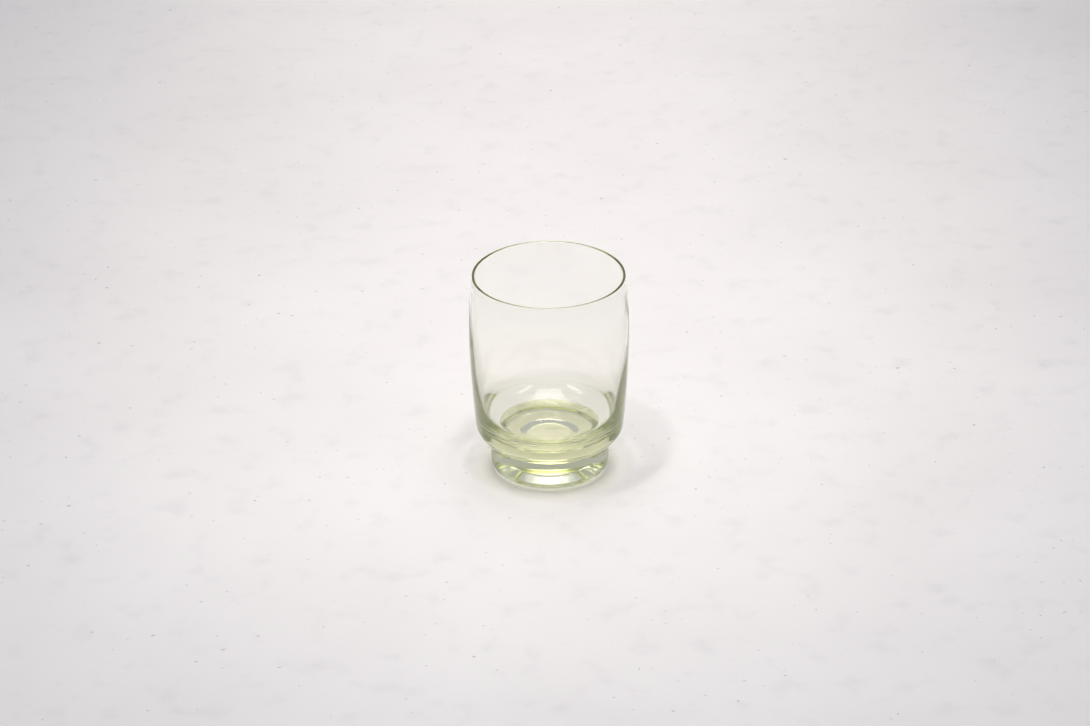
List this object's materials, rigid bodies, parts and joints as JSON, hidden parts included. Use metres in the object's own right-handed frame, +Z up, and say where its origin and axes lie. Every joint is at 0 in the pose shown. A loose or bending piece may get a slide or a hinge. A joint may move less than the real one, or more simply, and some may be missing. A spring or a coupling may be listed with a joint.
{
  "type": "shot glass",
  "caption": "Thin-walled, barrel-shaped stacking shot glass in pale yellow-green glass, with a rounded shoulder and a thick narrower foot it stands on.",
  "frame": {"origin": "centre of the ring the glass rests on, at table level", "axes": "+Z up along the glass's axis of turning, out of the mouth; X and Y are free because the glass is round"},
  "size_m": [0.0448, 0.0448, 0.06],
  "materials": {
    "glass": "clear, fire-polished, faint yellow-green tint"
  },
  "bodies": {
    "root": {"bowl": "glass", "foot": "glass"}
  },
  "joints": []
}
